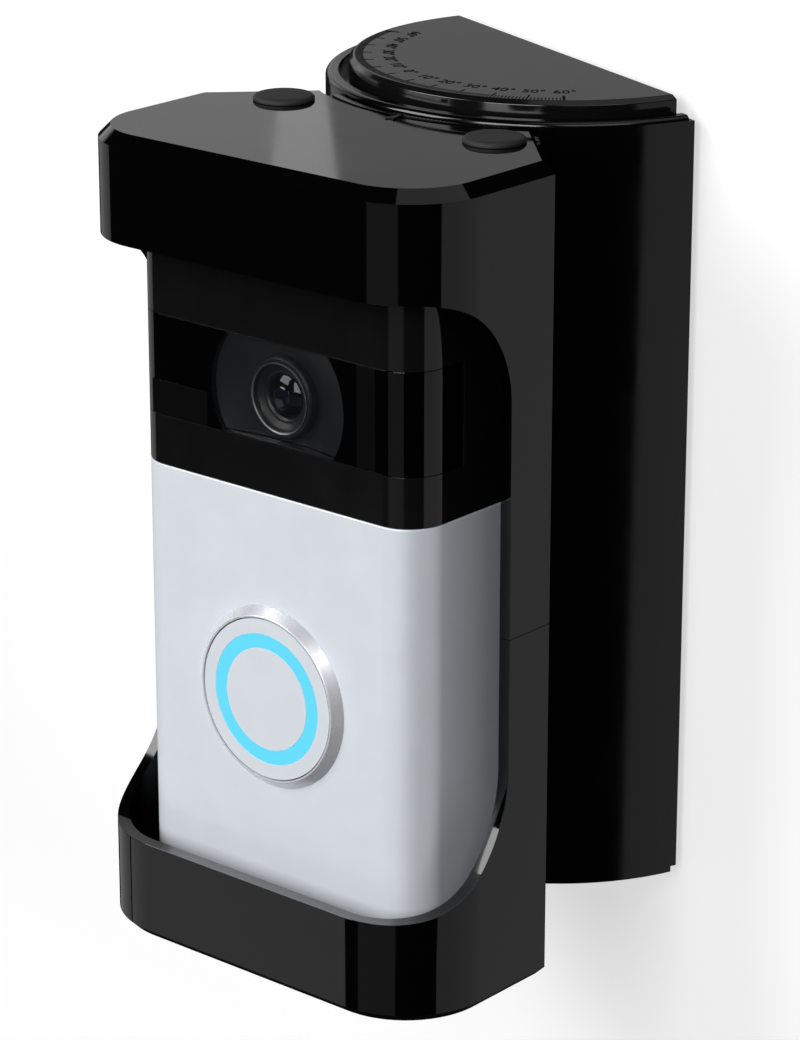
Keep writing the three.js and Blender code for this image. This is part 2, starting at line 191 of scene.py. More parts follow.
def lathe(profile, at, axis="y", steps=128, closed=False):
    """A solid of revolution. The profile is (radius, height) points; a radius of 0 is a pole."""
    mesh = bmesh.new()
    rings = []
    for r, height in profile:
        points = circle(0, 0, r, steps) if r else [(0, 0)]
        dx, dy = (at[1], at[0]) if axis == "y" else at
        rings.append([mesh.verts.new(AXES[axis](x + dx, y + dy, height)) for x, y in points])
    pairs = list(zip(rings, rings[1:]))
    if closed:
        pairs.append((rings[-1], rings[0]))
    for low, high in pairs:
        for i in range(steps):
            j = (i + 1) % steps
            corners = [low[i % len(low)], low[j % len(low)], high[j % len(high)], high[i % len(high)]]
            mesh.faces.new(list(dict.fromkeys(corners)))
    return to_object("solid", mesh)


def apply_modifiers(made):
    graph = bpy.context.evaluated_depsgraph_get()
    made.data = bpy.data.meshes.new_from_object(
        made.evaluated_get(graph), preserve_all_data_layers=True, depsgraph=graph)
    made.modifiers.clear()


def combine(made, operation, *others):
    """Joins, cuts or intersects a solid with others, which are used up."""
    for other in others:
        step = made.modifiers.new("combine", "BOOLEAN")
        step.operation = operation
        step.solver = "EXACT"
        step.object = other
    apply_modifiers(made)
    for other in others:
        bpy.data.objects.remove(other)
    return made


def join(made, *others):
    return combine(made, "UNION", *others)


def cut(made, *others):
    return combine(made, "DIFFERENCE", *others)


def on_path(point, path):
    """True if a 2D point lies on a polygon's outline."""
    p = Vector(point)
    for a, b in zip(path, path[1:] + path[:1]):
        a, b = Vector(a), Vector(b)
        along = b - a
        share = max(0, min(1, (p - a).dot(along) / along.length_squared))
        if (p - a - along * share).length < ON_LINE:
            return True
    return False


def chamfer(made, weigh, width):
    """A flat chamfer on the sharp edges. weigh(point) is the share of the width there, and an edge
    gets the least of its two ends and its middle."""
    mesh = bmesh.new()
    mesh.from_mesh(made.data)
    layer = mesh.edges.layers.float.new("bevel_weight_edge")
    for edge in mesh.edges:
        if len(edge.link_faces) == 2 and edge.calc_face_angle() > math.radians(SHARP):
            ends = [v.co for v in edge.verts]
            edge[layer] = min(weigh(point) for point in [*ends, (ends[0] + ends[1]) / 2])
    mesh.to_mesh(made.data)
    mesh.free()
    step = made.modifiers.new("chamfer", "BEVEL")
    step.limit_method = "WEIGHT"
    step.width = width
    step.segments = 1
    apply_modifiers(made)


def smooth(data):
    """Corner normals weighted by the square of each face's area, so that flat faces stay flat."""
    data.shade_smooth()
    around = [[] for _ in data.vertices]
    for face in data.polygons:
        for v in face.vertices:
            around[v].append((face.normal.copy(), (face.area / MM ** 2) ** 2))
    nearly = math.cos(math.radians(SHARP))
    normals = []
    for face in data.polygons:
        for v in face.vertices:
            near = [normal * weight for normal, weight in around[v]
                    if normal.dot(face.normal) > nearly]
            normals.append(sum(near, Vector()).normalized())
    seen = {}
    for face in data.polygons:
        corners = list(face.loop_indices)
        for corner, following in zip(corners, corners[1:] + corners[:1]):
            ends = {data.loops[c].vertex_index: normals[c] for c in (corner, following)}
            other = seen.setdefault(data.loops[corner].edge_index, ends)
            if any(ends[v].dot(other[v]) < 0.99999 for v in ends):
                data.edges[data.loops[corner].edge_index].use_edge_sharp = True
    data.normals_split_custom_set(normals)


def soften(made, width=HIGHLIGHT, segments=2):
    """Merges corners that nearly meet, and rounds the sharp edges a little."""
    mesh = bmesh.new()
    mesh.from_mesh(made.data)
    bmesh.ops.remove_doubles(mesh, verts=mesh.verts, dist=MERGE)
    bmesh.ops.dissolve_degenerate(mesh, edges=mesh.edges, dist=MERGE)
    mesh.to_mesh(made.data)
    mesh.free()
    if width:
        step = made.modifiers.new("edge", "BEVEL")
        step.width = width
        step.segments = segments
        step.limit_method = "ANGLE"
        step.angle_limit = math.radians(ROUND)
        step.miter_outer = "MITER_ARC"
        apply_modifiers(made)


def show(made, name, body, place, material, replaces=()):
    """Puts a finished solid in the row frame, on its body, with its material."""
    made.name = name
    made.data.name = name
    made.data.transform(place)
    smooth(made.data)
    made.data.materials.clear()
    made.data.materials.append(material)
    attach(made, body)
    if replaces:
        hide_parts(*replaces)


# ---- materials ----
TINT_PATCH = 6  # spacing of the drift in colour
GLOSS_PATCH = 9  # spacing of the drift in roughness
NOISE_RANGE = (0.3, 0.7)  # where most of a noise texture's values lie


def surface(name, colour, roughness, metallic=0.0, grain=0.0, grain_size=0.2, vary=0.1, smudge=0.03,
            **more):
    """A Principled material. Colour and roughness drift a little over the surface; grain is the
    depth of a fine texture in millimetres, and grain_size its spacing."""
    made = bpy.data.materials.new(name)
    made.use_nodes = True
    nodes, links = made.node_tree.nodes, made.node_tree.links
    shader = nodes["Principled BSDF"]
    shader.inputs["Metallic"].default_value = metallic
    for key, value in more.items():
        shader.inputs[key.replace("_", " ")].default_value = value
    place = nodes.new("ShaderNodeTexCoord")

    def noise(spacing, detail):
        texture = nodes.new("ShaderNodeTexNoise")
        texture.inputs["Scale"].default_value = 1 / (spacing * MM)
        texture.inputs["Detail"].default_value = detail
        links.new(place.outputs["Object"], texture.inputs["Vector"])
        return texture.outputs["Fac"]

    def spread(value, low, high):
        ranged = nodes.new("ShaderNodeMapRange")
        ranged.inputs["From Min"].default_value = NOISE_RANGE[0]
        ranged.inputs["From Max"].default_value = NOISE_RANGE[1]
        ranged.inputs["To Min"].default_value = low
        ranged.inputs["To Max"].default_value = high
        links.new(value, ranged.inputs["Value"])
        return ranged.outputs["Result"]

    tint = nodes.new("ShaderNodeMix")
    tint.data_type = "RGBA"
    tint.inputs["A"].default_value = (*(c * (1 - vary) for c in colour), 1)
    tint.inputs["B"].default_value = (*(c * (1 + vary) for c in colour), 1)
    links.new(spread(noise(TINT_PATCH, 3), 0, 1), tint.inputs["Factor"])
    links.new(tint.outputs["Result"], shader.inputs["Base Color"])
    gloss = spread(noise(GLOSS_PATCH, 4), roughness - smudge, roughness + smudge)
    links.new(gloss, shader.inputs["Roughness"])
    if grain:
        bump = nodes.new("ShaderNodeBump")
        bump.inputs["Strength"].default_value = 1
        bump.inputs["Distance"].default_value = grain * MM
        links.new(noise(grain_size, 2), bump.inputs["Height"])
        links.new(bump.outputs["Normal"], shader.inputs["Normal"])
    return made


def emissive(name, colour, strength, rest):
    return surface(name, rest, 0.4, Emission_Strength=strength, Emission_Color=(*colour, 1))


def clear_glass(name, alpha):
    return surface(name, (0.01, 0.011, 0.013), 0.02, smudge=0.005, Alpha=alpha, IOR=1.5)


MATERIALS = {
    "gloss_black": surface("gloss_black", (0.0006, 0.0006, 0.00065), 0.055, smudge=0.015,
                           grain=0.0004, grain_size=2.5, IOR=1.5),
    "moulded_black": surface("moulded_black", (0.0045, 0.0045, 0.0048), 0.09, grain=0.0004,
                             grain_size=2),
    "shell_black": surface("shell_black", (0.0007, 0.0007, 0.00075), 0.14, grain=0.0006,
                           grain_size=1.5),
    "cap_black": surface("cap_black", (0.004, 0.004, 0.0042), 0.12, grain=0.0006, grain_size=0.8),
    "satin_silver": surface("satin_silver", (0.79, 0.83, 0.89), 0.4, metallic=0.25, grain=0.0035,
                            grain_size=0.16, vary=0.015),
    "polished_silver": surface("polished_silver", (0.84, 0.86, 0.9), 0.26, metallic=0.55, grain=0.0004,
                               grain_size=0.5, vary=0.02),
    "dark_glass": surface("dark_glass", (0.0004, 0.0004, 0.0005), 0.035, smudge=0.01, IOR=1.5),
    "lens_glass": clear_glass("lens_glass", 0.18),
    # a grey a little lighter than the window glass: painted reflection, the colour of the panels laid on the
    # window
    "reflection_grey": surface("reflection_grey", (0.003, 0.003, 0.0032), 0.06, smudge=0.01),
    "lens_coating": surface("lens_coating", (0.004, 0.004, 0.012), 0.02, smudge=0.005, IOR=1.7),
    "dark_grey": surface("dark_grey", (0.007, 0.007, 0.0074), 0.38, grain=0.002, grain_size=0.25),
    "light_blue": emissive("light_blue", (0.13, 0.74, 1.0), 0.95, (0.004, 0.015, 0.02)),
    "rubber_black": surface("rubber_black", (0.012, 0.012, 0.0123), 0.62, grain=0.006, grain_size=0.35),
    "steel": surface("steel", (0.5, 0.51, 0.52), 0.3, metallic=1.0, grain=0.002, grain_size=0.4),
    "foam_black": surface("foam_black", (0.02, 0.02, 0.02), 0.9, grain=0.08, grain_size=0.5,
                          smudge=0.05),
    "circuit_green": surface("circuit_green", (0.01, 0.085, 0.03), 0.45, grain=0.01, grain_size=1.2,
                             vary=0.3),
    "cell_grey": surface("cell_grey", (0.05, 0.055, 0.06), 0.5, grain=0.003, grain_size=0.6),
    "ink": surface("ink", (0.001, 0.001, 0.001), 0.9, Specular_IOR_Level=0.1),
}


# ---- wall base ----
def half_disc(r, back, steps=96):
    return [(-r, back), *arc(0, 0, r, 180, 360, steps), (r, back)]


def sector(r_in, r_out, half, low, high, steps=64):
    """Part of a ring, half degrees to each side of straight forward."""
    middle = -90
    outline = [*arc(0, 0, r_out, middle - half, middle + half, steps),
               *arc(0, 0, r_in, middle + half, middle - half, steps)]
    return prism(outline, low, high)


def base_shell():
    inner = SHELL_R - SHELL_WALL
    turns = [math.radians(a) for a in range(0, 91, 15)]
    rim = [(SHELL_RIM * (1 - math.cos(a)), SHELL_HALF - SHELL_RIM * (1 - math.sin(a))) for a in turns]
    shell = loft([(half_disc(SHELL_R, SHELL_BACK), -SHELL_HALF),
                  *[(half_disc(SHELL_R - inset, SHELL_BACK), z) for inset, z in rim]])
    back = SHELL_BACK + OVER
    room = prism(half_disc(inner, back), -SHELL_HALF + DECK, SHELL_HALF - DECK_DROP - DECK)
    well = prism(half_disc(inner, back), SHELL_HALF - DECK_DROP, SHELL_HALF + OVER)
    slots = [sector(inner - OVER, SHELL_R + OVER, SWIVEL_SLOT, z - SLOT_HALF, z + SLOT_HALF)
             for z in BOLT_Z]
    cut(shell, room, well, *slots)
    soften(shell, 0.2)
    show(shell, "base_shell_moulding", "base", BASE, MATERIALS["shell_black"],
         ["base_shell"])


def dial_cap():
    edge = CAP_EDGE
    cap = loft([
        (half_disc(CAP_R, CAP_BACK), SHELL_HALF - DECK_DROP + 0.1),
        (half_disc(CAP_R, CAP_BACK), CAP_TOP - edge),
        (half_disc(CAP_R - edge, CAP_BACK - edge / 2), CAP_TOP),
    ])
    soften(cap, 0.12)
    show(cap, "dial_plate", "base", BASE, MATERIALS["cap_black"], ["dial_cap"])


INK = 0.03  # how far the printed scale stands off the dial
SCALE_R = 35.4  # outer end of the tick marks
LABEL_R = 30.6  # foot of the numbers
LABEL_SIZE = 2.9
LABEL_SHIFT = 0.25  # to the right, because the degree sign is lighter than the figures
SCALE_END = 60  # last number on each side, in degrees
SCALE_LIFT = 0.005  # gap between the dial and the underside of the print


def dial_scale():
    """Tick marks every degree and a number every 10, to 60 degrees each way."""
    ticks = bmesh.new()
    for angle in range(-SCALE_END, SCALE_END + 1):
        main = angle % 10 == 0
        length = 2.9 if main else 1.4
        half = 0.24 if abs(angle) == SCALE_END else 0.14 if main else 0.1
        turn = Matrix.Rotation(math.radians(angle - 90), 4, "Z")
        corners = [(SCALE_R - length, -half), (SCALE_R, -half), (SCALE_R, half), (SCALE_R - length, half)]
        low = [ticks.verts.new(turn @ Vector((x, y, CAP_TOP + SCALE_LIFT))) for x, y in corners]
        high = [ticks.verts.new(turn @ Vector((x, y, CAP_TOP + INK))) for x, y in corners]
        ticks.faces.new(list(reversed(low)))
        ticks.faces.new(high)
        for i in range(4):
            ticks.faces.new((low[i], low[(i + 1) % 4], high[(i + 1) % 4], high[i]))
    made = to_object("dial_ticks", ticks)
    show(made, "dial_ticks", "base", BASE, MATERIALS["ink"])

    numbers = bmesh.new()
    for angle in range(-SCALE_END, SCALE_END + 1, 10):
        words = bpy.data.curves.new("number", "FONT")
        words.body = f"{abs(angle)}°"
        words.size = LABEL_SIZE
        words.align_x = "CENTER"
        words.extrude = INK / 2
        holder = bpy.data.objects.new("number", words)
        bpy.context.scene.collection.objects.link(holder)
        bpy.context.view_layer.update()
        flat = bpy.data.meshes.new_from_object(holder)
        upright = Matrix.Rotation(math.radians(angle), 4, "Z")
        foot = (LABEL_SHIFT, -LABEL_R, CAP_TOP + SCALE_LIFT + INK / 2)
        flat.transform(upright @ Matrix.Translation(foot))
        numbers.from_mesh(flat)
        bpy.data.objects.remove(holder)
    made = to_object("dial_numbers", numbers)
    show(made, "dial_numbers", "base", BASE, MATERIALS["ink"])


# ---- holder ----
def holder_outline(inset, nose):
    """Rounded nose, straight sides, 45 degree shoulders and a concave rear that wraps the base."""
    w = HOLD_W - inset
    front = FACE - nose["proud"] + inset
    r = nose["corner"] - inset
    shoulder = HOLD_W + HOLD_BACK - inset * math.sqrt(2)
    rear = HOLD_REAR_R + inset
    x = (shoulder + math.sqrt(2 * rear * rear - shoulder * shoulder)) / 2
    reach = math.degrees(math.atan2(x, x - shoulder))
    return [
        *arc(-w + r, front + r, r, 180, 270, 30),
        *arc(w - r, front + r, r, 270, 360, 30),
        (w, shoulder - w),
        *arc(0, 0, rear, -90 + reach, -90 - reach, 48),
        (-w, shoulder - w),
    ]


def opening_profile():
    depth = FACE + OPENING_DEPTH
    low, high = OPENING_R["cup"], OPENING_R["hood"]
    return [
        (FACE - 20, LIP),
        *arc(depth - low, LIP + low, low, 270, 360, 36),
        *arc(depth - high, HOOD_LOW - high, high, 0, 90, 36),
        (FACE - 20, HOOD_LOW),
    ]


def bolt_post(at, low, high):
    """A screw post, and the web that ties it to the holder's rear wall."""
    half, reach = 3, 10
    web = block((at[0] - half, at[0] + half), (at[1], at[1] + reach), (low, high))
    combine(web, "INTERSECT", prism(holder_outline(0.5, HOOD), low, high))
    return join(post(POST_R, at, low, high), web)


def bolt_hole(z):
    """Cuts a swivel bolt's hole through the holder's rear wall."""
    return pin(BOLT_R, (0, z), -HOLD_REAR_R - 5, -HOLD_REAR_R + 5, 32)


def bell_room():
    """Cuts the room that the doorbell stands in."""
    depth, gap = 26.7, 0.3
    outline = rounded(BELL_W + 0.5, FACE - 0.5, FACE + depth, BELL_R, 3)
    return prism(outline, BELL_BOTTOM - gap, BELL_TOP + gap)


def rounded(w, front, back, r_front, r_back):
    """A rectangle with round corners, seen from above."""
    return [
        *arc(-w + r_front, front + r_front, r_front, 180, 270),
        *arc(w - r_front, front + r_front, r_front, 270, 360),
        *arc(w - r_back, back - r_back, r_back, 0, 90, 8),
        *arc(-w + r_back, back - r_back, r_back, 90, 180, 8),
    ]


def edge_weight(nose):
    """Share of LIP_EDGE along the opening: all of it at the top and bottom, less on the side walls."""
    outline = holder_outline(0, nose)
    profile = opening_profile()
    low, high = LIP + OPENING_R["cup"], HOOD_LOW - OPENING_R["hood"]

    def weigh(p):
        if not (on_path((p.x, p.y), outline) and on_path((p.y, p.z), profile)):
            return 0
        beyond = max((low - p.z) / OPENING_R["cup"], (p.z - high) / OPENING_R["hood"], 0)
        return (SIDE_EDGE + (LIP_EDGE - SIDE_EDGE) * beyond) / LIP_EDGE

    return weigh


def holder_solid(nose, *levels):
    """A solid over the holder's outline; each level is (inset, height)."""
    return loft([(holder_outline(inset, nose), z) for inset, z in levels])


def open_front(made, nose):
    """Cuts the opening that the doorbell shows through, and finishes the edges."""
    cut(made, prism(opening_profile(), -60, 60, "x"))
    chamfer(made, edge_weight(nose), LIP_EDGE)
    soften(made)


def holder_upper():
    upper = holder_solid(HOOD, (0, SEAM + SEAM_GAP / 2), (0, HOLD_TOP - HOLD_EDGE), (HOLD_EDGE, HOLD_TOP))
    cut(upper, prism(holder_outline(HOLD_WALL, HOOD), SEAM - OVER, HOLD_TOP - ROOF))
    join(upper, *[bolt_post(at, SEAM + POST_GAP, HOLD_TOP - OVER) for at in POSTS])
    holes = [post(PLUG_HOLE_R, at, HOLD_TOP - PLUG_HOLE_DEPTH, HOLD_TOP + OVER) for at in POSTS]
    holes += [post(SCREW_R, at, SEAM - OVER, HOLD_TOP) for at in POSTS]
    holes.append(sector(HOLD_REAR_R - OVER, HOLD_REAR_R + 1.4, 27, HOLD_TOP - 4.4, HOLD_TOP + OVER))
    cut(upper, *holes, bell_room(), bolt_hole(BOLT_Z[0]))
    open_front(upper, HOOD)
    show(upper, "holder_hood", "holder", HOLDER, MATERIALS["gloss_black"],
         ["holder_upper"])


def holder_lower():
    top = SEAM - SEAM_GAP / 2
    lower = holder_solid(CUP, (FOOT_EDGE, HOLD_BOTTOM), (0, HOLD_BOTTOM + FOOT_EDGE), (0, top))
    cut(lower, prism(holder_outline(HOLD_WALL, CUP), HOLD_BOTTOM + FLOOR, SEAM + OVER))
    join(lower, *[bolt_post(at, SEAM - 14, SEAM - POST_GAP) for at in POSTS])
    holes = [post(SCREW_R, at, SEAM - 20, SEAM + OVER) for at in POSTS]
    cut(lower, *holes, bell_room(), bolt_hole(BOLT_Z[1]))
    open_front(lower, CUP)
    show(lower, "holder_cup", "holder", HOLDER, MATERIALS["gloss_black"],
         ["holder_lower"])


def index_marks():
    """Toothed strip along the holder's rear edge, and the pointer that reads the dial."""
    half, teeth = 26.5, 48
    root, tooth, back, drop = -0.35, 0.45, 1.1, 4.1
    inner = []
    for i in range(teeth * 2 + 1):
        angle = math.radians(-90 + half - half * i / teeth)
        r = HOLD_REAR_R + root + (tooth if i % 2 else 0)
        inner.append((r * math.cos(angle), r * math.sin(angle)))
    outer = arc(0, 0, HOLD_REAR_R + back, -90 - half, -90 + half, 48)
    rack = prism([*outer, *inner], HOLD_TOP - drop, HOLD_TOP)
    soften(rack, 0)
    show(rack, "index_teeth", "holder", HOLDER, MATERIALS["shell_black"], ["index_rack"])

    tip = -HOLD_REAR_R + 0.2
    wing, notch, neck = tip - 4.2, tip - 3.4, tip - 1
    arrow = [(-0.9, wing), (0, notch), (0.9, wing), (0.12, neck), (0, tip), (-0.12, neck)]
    pointer = prism(arrow, HOLD_TOP + 0.02, HOLD_TOP + 0.3)
    soften(pointer, 0.05)
    show(pointer, "index_arrow", "holder", HOLDER, MATERIALS["rubber_black"],
         ["index_pointer"])


PLUG_PROFILE = (  # radius, and height over the hood's top
    (0, 0.95), (3.6, 1.0), (4.3, 1.0), (4.85, 0.86), (5.2, 0.5), (5.2, 0.06), (3.45, 0.06),
    (3.35, -4.6), (3.0, -5), (0, -5),
)


def screw_plugs():
    for at, word in zip(POSTS, ("left", "right")):
        plug = lathe([(r, HOLD_TOP + height) for r, height in PLUG_PROFILE], at, "z")
        soften(plug, 0.08)
        show(plug, f"plug_{word}_rubber", f"plug_{word}", HOLDER, MATERIALS["rubber_black"],
             [f"screw_plug_{word}"])


# ---- doorbell ----
def bell_outline(inset, depth):
    return rounded(BELL_W - inset, FACE + inset, depth, BELL_R - inset, 0.6)


def faceplate():
    top = SPLIT - SPLIT_GAP / 2
    plate = prism(bell_outline(0, COVER_BACK), BELL_BOTTOM, top)
    hollow = prism(bell_outline(COVER_WALL, COVER_BACK + OVER), BELL_BOTTOM + COVER_WALL, top + OVER)
    cut(plate, hollow, pin(BEZEL_R - 0.6, BUTTON, FACE - OVER, FACE + 3))
    cut(plate, post(SCREW_R, (0, FACE + 9), BELL_BOTTOM - OVER, BELL_BOTTOM + 3, 32))
    soften(plate, 0.25, 3)
    show(plate, "faceplate_satin", "holder", HOLDER, MATERIALS["satin_silver"],
         ["faceplate"])


def port_outline(r, grow=0.0):
    """The camera's port: a circle cut off flat by the window's upper and lower edges."""
    high = (WINDOW[1] - WINDOW[0]) / 2 - 0.25 + grow
    middle = (WINDOW[0] + WINDOW[1]) / 2
    above, below = middle + high - LENS[1], middle - high - LENS[1]
    top = math.degrees(math.atan2(above, math.sqrt(r * r - above ** 2)))
    bottom = math.degrees(math.atan2(below, math.sqrt(r * r - below ** 2)))
    right = arc(LENS[0], LENS[1], r, bottom, top, 32)
    left = arc(LENS[0], LENS[1], r, 180 - top, 180 - bottom, 32)
    return [(z, x) for x, z in reversed(right + left)]


def upper_cover():
    low, high = WINDOW
    cover = prism(bell_outline(0, COVER_BACK), SPLIT + SPLIT_GAP / 2, BELL_TOP)
    hollow = bell_outline(COVER_WALL, COVER_BACK + OVER)
    cut(cover, prism(hollow, SPLIT - OVER, BELL_TOP - COVER_WALL))
    rib = prism(bell_outline(1, COVER_BACK), low - 1.5, high + 1.5)
    cut(rib, prism(bell_outline(GLASS_D + 1.6, COVER_BACK + OVER), low - 2, high + 2))
    join(cover, rib)
    gap = 0.08
    seat = prism(bell_outline(-1, GLASS_BACK + 0.2), low - gap, high + gap)
    cut(seat, prism(bell_outline(GLASS_D + 0.1, GLASS_BACK + 0.3), low - OVER, high + OVER))
    cut(cover, seat, prism(port_outline(PORT_R), FACE - OVER, FACE + 8, "y"))
    soften(cover, 0.12)
    show(cover, "upper_cover_gloss", "holder", HOLDER, MATERIALS["moulded_black"],
         ["upper_cover"])


def camera_window():
    low, high = WINDOW
    pane = prism(bell_outline(0, GLASS_BACK), low, high)
    cut(pane, prism(bell_outline(GLASS_D, GLASS_BACK + OVER), low - OVER, high + OVER))
    cut(pane, prism(port_outline(PORT_R), FACE - OVER, FACE + 8, "y"))
    soften(pane, 0.08)
    show(pane, "window_smoked", "holder", HOLDER, MATERIALS["dark_glass"],
         ["camera_window"])
    clear = prism(port_outline(PORT_R - 0.05, -0.05), FACE, FACE + 0.5, "y")
    soften(clear, 0)
    show(clear, "window_clear", "holder", HOLDER, MATERIALS["lens_glass"])


def behind_face(profile):
    """A profile for lathe() whose depths are counted from the doorbell's face."""
    return [(r, FACE + depth) for r, depth in profile]


def camera():
    """A dished surround cut off by the window, with the lens and its stepped rings in the middle."""
    inner, cone, trim, outer = LENS_R
    rim, hole, back = 14.2, outer + 0.1, 5.2
    dish = lathe(behind_face([(rim, 0.9), (12, 1.5), (9.5, 2.0), (hole, 2.3), (hole, back), (rim, back)]),
                 LENS, closed=True)
    combine(dish, "INTERSECT", prism(port_outline(PORT_R - 0.1, -0.15), FACE, FACE + 7, "y"))
    soften(dish, 0.06)
    show(dish, "camera_dish", "holder", HOLDER, MATERIALS["dark_grey"], ["camera_shroud"])

    barrel = lathe(behind_face([
        (outer, 1.0), (outer, 9.6), (inner, 9.6), (inner, 2.3), (inner + 0.4, 2.0), (inner + 0.9, 2.0),
        (cone - 0.3, 1.6), (cone, 1.6), (cone, 1.4), (trim, 1.4), (trim, 0.7), (outer - 0.3, 0.7),
    ]), LENS, closed=True)
    soften(barrel, 0.07)
    show(barrel, "lens_tube", "holder", HOLDER, MATERIALS["dark_grey"], ["lens_barrel"])

    bright = cone + 0.05, trim - 0.05
    ring = lathe(behind_face([(bright[0], 0.65), (bright[1], 0.55), (bright[1], 1.35), (bright[0], 1.35)]),
                 LENS, closed=True)
    soften(ring, 0.04)
    show(ring, "lens_trim", "holder", HOLDER, MATERIALS["steel"], ["lens_ring"])

    edge = math.radians(DOME)
    turns = [math.radians(a) for a in range(0, DOME + 1, 4)]
    for name, r, rise, back, finish, replaces in (
        ("lens_dome", inner - 0.1, 1.0, FACE + 2.2, "dark_glass", ["lens_glass"]),
        ("lens_iris", inner * 0.5, 0.35, FACE + 1.3, "lens_coating", []),
    ):
        dome = [(r * math.sin(a) / math.sin(edge),
                 back - rise * (math.cos(a) - math.cos(edge)) / (1 - math.cos(edge))) for a in turns]
        lens = lathe([*dome, (r, back + 0.2), (0, back + 0.2)], LENS)
        soften(lens, 0)
        show(lens, name, "holder", HOLDER, MATERIALS[finish], replaces)


def reflection_panels():
    """Two flush grey panels in the window, one each side of the camera: painted reflections, lighter patches laid
    on the dark glass where it shows reflected light.
    """
    low, high = WINDOW[0] + 0.2, WINDOW[1] - 0.2
    # where these painted reflection panels lie on the window
    for name, x, z in (("reflection_panel_left", (-26.2, -13.8), (low, 24.2)),
                       ("reflection_panel_right", (18.9, 22.8), (low, high))):
        panel = block(x, (FACE - 0.02, FACE + 0.6), z)
        soften(panel, 0.01, 1)
        show(panel, name, "holder", HOLDER, MATERIALS["reflection_grey"])


BUTTON_STEPS = 160


def button():
    front = FACE - PROUD
    hole, sleeve = CAP_BUTTON_R + 0.2, BEZEL_R - 0.8
    bezel = lathe([(BEZEL_R, FACE - 0.02), (BEZEL_R - 1.5, front), (hole, front), (hole, FACE + 2.4),
                   (sleeve, FACE + 2.4), (sleeve, FACE - 0.02)], BUTTON, steps=BUTTON_STEPS, closed=True)
    soften(bezel, 0.08)
    show(bezel, "bezel_polished", "holder", HOLDER, MATERIALS["polished_silver"],
         ["button_bezel"])

    face = front + 0.1
    inner, outer = RING_R
    groove = inner - 0.06, outer + 0.06
    flange = CAP_BUTTON_R + 0.9
    cap = lathe([(0, face), (groove[0], face), (groove[0], face + 2.1), (groove[1], face + 2.1),
                 (groove[1], face), (CAP_BUTTON_R, face), (CAP_BUTTON_R, FACE + 2.7),
                 (flange, FACE + 2.7), (flange, FACE + 3.6), (0, FACE + 3.6)], BUTTON, steps=BUTTON_STEPS)
    soften(cap, 0.06)
    show(cap, "button_face", "button", HOLDER, MATERIALS["satin_silver"], ["button_cap"])

    light = lathe([(inner, face + 0.02), (outer, face + 0.02), (outer, face + 1.9), (inner, face + 1.9)],
                  BUTTON, steps=BUTTON_STEPS, closed=True)
    soften(light, 0.05)
    show(light, "button_light", "button", HOLDER, MATERIALS["light_blue"], ["light_ring"])


# ---- CAD nodes that stay ----
def keep_cad_nodes():
    slots = {row["node"]: row["material_slot"] for row in frame["record"]["subparts"]}
    for name, node in frame["nodes"].items():
        if not node.hide_render:
            node.data.materials.clear()
            node.data.materials.append(MATERIALS[slots[name]])


# ---- studio ----
def ghost(name, colour, glow):
    """Seen by the camera from the front only; light and reflections pass through it."""
    made = bpy.data.materials.new(name)
    made.use_nodes = True
    nodes, links = made.node_tree.nodes, made.node_tree.links
    nodes.clear()
    output = nodes.new("ShaderNodeOutputMaterial")
    path = nodes.new("ShaderNodeLightPath")
    facing = nodes.new("ShaderNodeNewGeometry")
    front = nodes.new("ShaderNodeMath")
    front.operation = "SUBTRACT"
    links.new(path.outputs["Is Camera Ray"], front.inputs[0])
    links.new(facing.outputs["Backfacing"], front.inputs[1])
    front.use_clamp = True
    paint = nodes.new("ShaderNodeBsdfDiffuse")
    paint.inputs["Color"].default_value = (*colour, 1)
    lit = nodes.new("ShaderNodeEmission")
    lit.inputs["Color"].default_value = (1, 1, 1, 1)
    lit.inputs["Strength"].default_value = glow
    both = nodes.new("ShaderNodeAddShader")
    links.new(paint.outputs["BSDF"], both.inputs[0])
    links.new(lit.outputs["Emission"], both.inputs[1])
    through = nodes.new("ShaderNodeBsdfTransparent")
    mix = nodes.new("ShaderNodeMixShader")
    links.new(front.outputs["Value"], mix.inputs["Fac"])
    links.new(through.outputs["BSDF"], mix.inputs[1])
    links.new(both.outputs["Shader"], mix.inputs[2])
    links.new(mix.outputs["Shader"], output.inputs["Surface"])
    return made


def backdrop():
    """A pale wall behind the part that curves into a pale floor well below it, in metres."""
    reach, wall_y, top, front, floor_z, cove = 1.6, 0.001, 1.0, -1.8, -0.42, 0.25
    turns = [math.radians(90 * i / 16) for i in range(17)]
    section = [(wall_y, top),
               *[(wall_y - cove + cove * math.cos(a), floor_z + cove - cove * math.sin(a)) for a in turns],
               (front, floor_z)]
    mesh = bmesh.new()
    rails = [[mesh.verts.new((x, y, z)) for y, z in section] for x in (-reach, reach)]
    for i in range(len(section) - 1):
        mesh.faces.new((rails[0][i], rails[0][i + 1], rails[1][i + 1], rails[1][i]))
    data = bpy.data.meshes.new("pale_floor")
    mesh.to_mesh(data)
    mesh.free()
    data.shade_smooth()
    floor = bpy.data.objects.new("pale_floor", data)
    bpy.context.scene.collection.objects.link(floor)
    data.materials.append(ghost("pale_paint", (0.42, 0.42, 0.42), 0.62))


def soft_box(name, azimuth, elevation, size, radiance):
    """A rectangular softbox aimed at the part. Azimuth is counted from +X towards +Y."""
    a, e = math.radians(azimuth), math.radians(elevation)
    away = Vector((math.cos(a) * math.cos(e), math.sin(a) * math.cos(e), math.sin(e)))
    light = bpy.data.lights.new(name, "AREA")
    light.shape = "RECTANGLE"
    light.size, light.size_y = (2 * DISTANCE * math.tan(math.radians(angle / 2)) for angle in size)
    light.energy = radiance * math.pi * light.size * light.size_y
    made = bpy.data.objects.new(name, light)
    made.location = MIDDLE + away * DISTANCE
    made.rotation_euler = (-away).to_track_quat("-Z", "Y").to_euler()
    made.visible_camera = False
    bpy.context.scene.collection.objects.link(made)


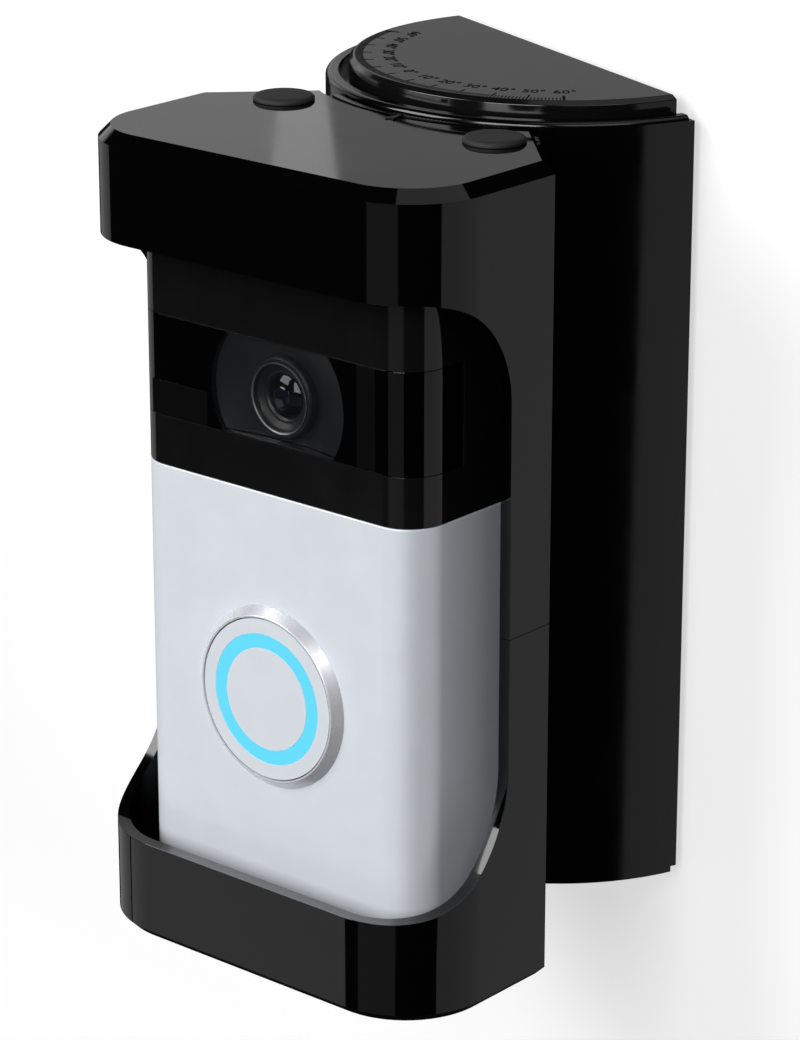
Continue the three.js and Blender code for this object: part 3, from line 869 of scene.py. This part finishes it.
MIDDLE = Vector((0.02, -0.045, 0))  # what the lights are aimed at, in metres
DISTANCE = 1.4
SOFT_BOXES = (  # name, azimuth, elevation, width and height as angles, radiance
    ("key_left", -108, 30, (30, 30), 7.0),
    ("key_right", -56, 20, (30, 30), 7.6),
    ("front_low", -124, -30, (34, 20), 0.52),
    ("corner_band", -64, -20, (40, 26), 0.17),
    ("side_low", 52, -20, (80, 34), 0.38),
    ("top_left", 171, 22, (35, 30), 0.5),
    ("top_right", 136.4, 22, (34, 30), 0.28),
    ("right_high", -10, 42, (30, 24), 1.6),
    ("overhead", 40, 70, (50, 50), 0.5),
    ("rear_left", -165, -8, (36, 60), 0.35),
)


WORLD_LIGHT = (0.01, 0.01, 0.0105, 1)
WORLD_SEEN = (0.93, 0.93, 0.94, 1)


def studio():
    """The lights, and a world that the camera sees pale and the part hardly sees at all."""
    world = bpy.data.worlds.new("studio")
    world.use_nodes = True
    nodes, links = world.node_tree.nodes, world.node_tree.links
    path = nodes.new("ShaderNodeLightPath")
    seen = nodes.new("ShaderNodeMix")
    seen.data_type = "RGBA"
    seen.inputs["A"].default_value = WORLD_LIGHT
    seen.inputs["B"].default_value = WORLD_SEEN
    links.new(path.outputs["Is Camera Ray"], seen.inputs["Factor"])
    links.new(seen.outputs["Result"], nodes["Background"].inputs["Color"])
    bpy.context.scene.world = world
    for row in SOFT_BOXES:
        soft_box(*row)


def camera_view():
    """The camera where the photograph was taken from, in metres and degrees."""
    place, down, heading = (0.5648, -0.3425, 0.2154), 19.264, 61.349
    data = bpy.data.cameras.new("camera")
    data.sensor_width = 36
    data.lens = 134.73
    data.clip_start = 0.05
    made = bpy.data.objects.new("camera", data)
    made.location = place
    made.rotation_euler = (math.radians(90 - down), 0, math.radians(heading))
    bpy.context.scene.collection.objects.link(made)
    bpy.context.scene.camera = made


camera_view()
base_shell()
dial_cap()
dial_scale()
holder_upper()
holder_lower()
index_marks()
screw_plugs()
faceplate()
upper_cover()
camera_window()
camera()
reflection_panels()
button()
keep_cad_nodes()
backdrop()
studio()
bpy.context.scene.view_settings.view_transform = "Standard"
